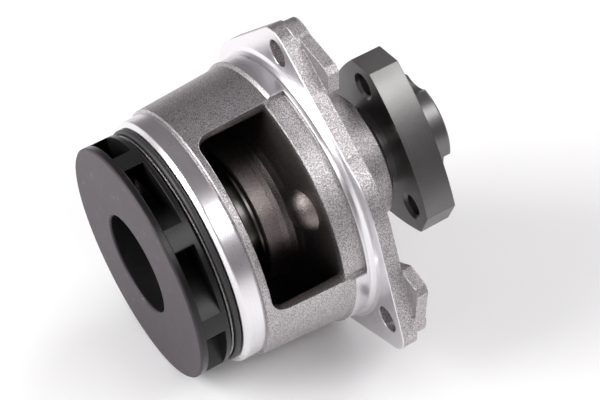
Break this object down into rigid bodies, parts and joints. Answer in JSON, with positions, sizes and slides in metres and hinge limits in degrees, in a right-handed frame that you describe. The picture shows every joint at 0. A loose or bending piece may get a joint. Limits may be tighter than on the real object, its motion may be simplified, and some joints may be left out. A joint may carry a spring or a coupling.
{
  "type": "water pump",
  "caption": "Engine coolant pump: cast barrel with side window and three-ear flange, closed impeller at the front, shaft seal and bearing inside, three-hole drive hub at the rear.",
  "frame": {"origin": "on the pump axis, in the plane of the flange's mounting face", "axes": "+X along the pump axis towards the drive hub, +Z towards the top ear"},
  "size_m": [0.1018, 0.1076, 0.1066],
  "materials": {
    "cast_aluminium": "satin",
    "seal_rubber": "matte",
    "bearing_steel": "polished",
    "cage_plastic": "satin",
    "pressed_steel": "satin",
    "carbon": "matte",
    "ceramic": "satin",
    "impeller_plastic": "satin",
    "hub_steel": "satin"
  },
  "bodies": {
    "pump_body": {"housing": "cast_aluminium", "front_o_ring": "seal_rubber", "bearing_outer_ring": "bearing_steel", "bearing_front_seal": "seal_rubber", "bearing_rear_seal": "seal_rubber", "seal_cup": "pressed_steel", "seal_bellows": "seal_rubber", "seal_spring": "pressed_steel", "spring_collar": "pressed_steel", "carbon_ring": "carbon"},
    "rotor": {"shaft": "bearing_steel", "impeller_front_disc": "impeller_plastic", "impeller_vane_body": "impeller_plastic", "impeller_insert": "hub_steel", "drive_hub": "hub_steel", "ceramic_seat": "ceramic", "seat_boot": "seal_rubber", "seat_ring": "pressed_steel"},
    "ball_set": {"bearing_balls": "bearing_steel", "ball_cage": "cage_plastic"},
    "roller_set": {"bearing_rollers": "bearing_steel", "roller_cage": "cage_plastic"}
  },
  "joints": [
    {"name": "rotor_spin", "type": "hinge", "parent": "pump_body", "child": "rotor", "pos_m": [0, 0, 0], "axis": [1, 0, 0], "continuous": true},
    {"name": "ball_set_spin", "type": "hinge", "parent": "pump_body", "child": "ball_set", "pos_m": [0, 0, 0], "axis": [1, 0, 0], "continuous": true},
    {"name": "roller_set_spin", "type": "hinge", "parent": "pump_body", "child": "roller_set", "pos_m": [0, 0, 0], "axis": [1, 0, 0], "continuous": true}
  ],
  "couplings": [
    {"joint": "ball_set_spin", "follows": "rotor_spin", "ratio": 0.354},
    {"joint": "roller_set_spin", "follows": "rotor_spin", "ratio": 0.402}
  ]
}
